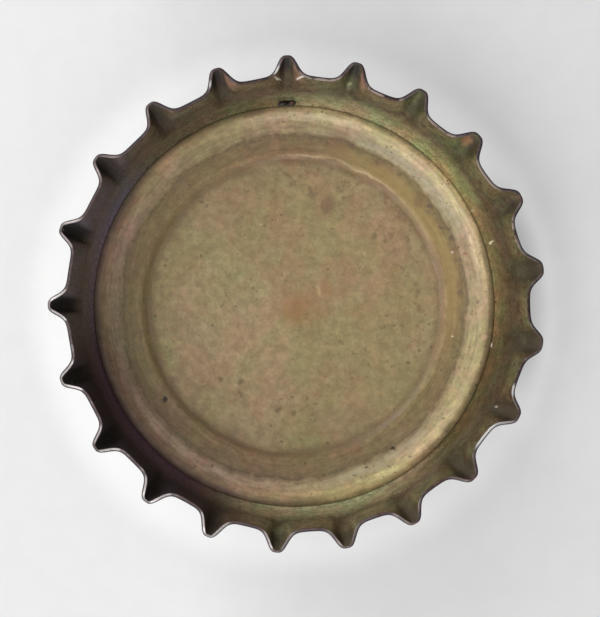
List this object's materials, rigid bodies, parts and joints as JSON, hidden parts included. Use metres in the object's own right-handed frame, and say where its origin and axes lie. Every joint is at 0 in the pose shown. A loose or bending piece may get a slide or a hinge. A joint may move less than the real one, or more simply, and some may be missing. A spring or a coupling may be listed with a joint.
{
  "type": "bottle cap",
  "caption": "Pressed metal bottle cap with a fluted, toothed skirt and a moulded sealing liner, lying open side up.",
  "frame": {"origin": "under the middle of the panel, on the surface that the cap lies on", "axes": "+Z out of the open side of the cap; the first tooth is just clockwise of +X"},
  "size_m": [0.0319, 0.032, 0.006],
  "materials": {
    "lacquered_tinplate": "khaki gold lacquer over tinplate, glossy, specked with rust at the teeth and the cut edge",
    "sealing_compound": "soft moulded compound, satin, tan with stains and fine dark specks"
  },
  "bodies": {
    "root": {"shell": "lacquered_tinplate", "liner": "sealing_compound"}
  },
  "joints": []
}
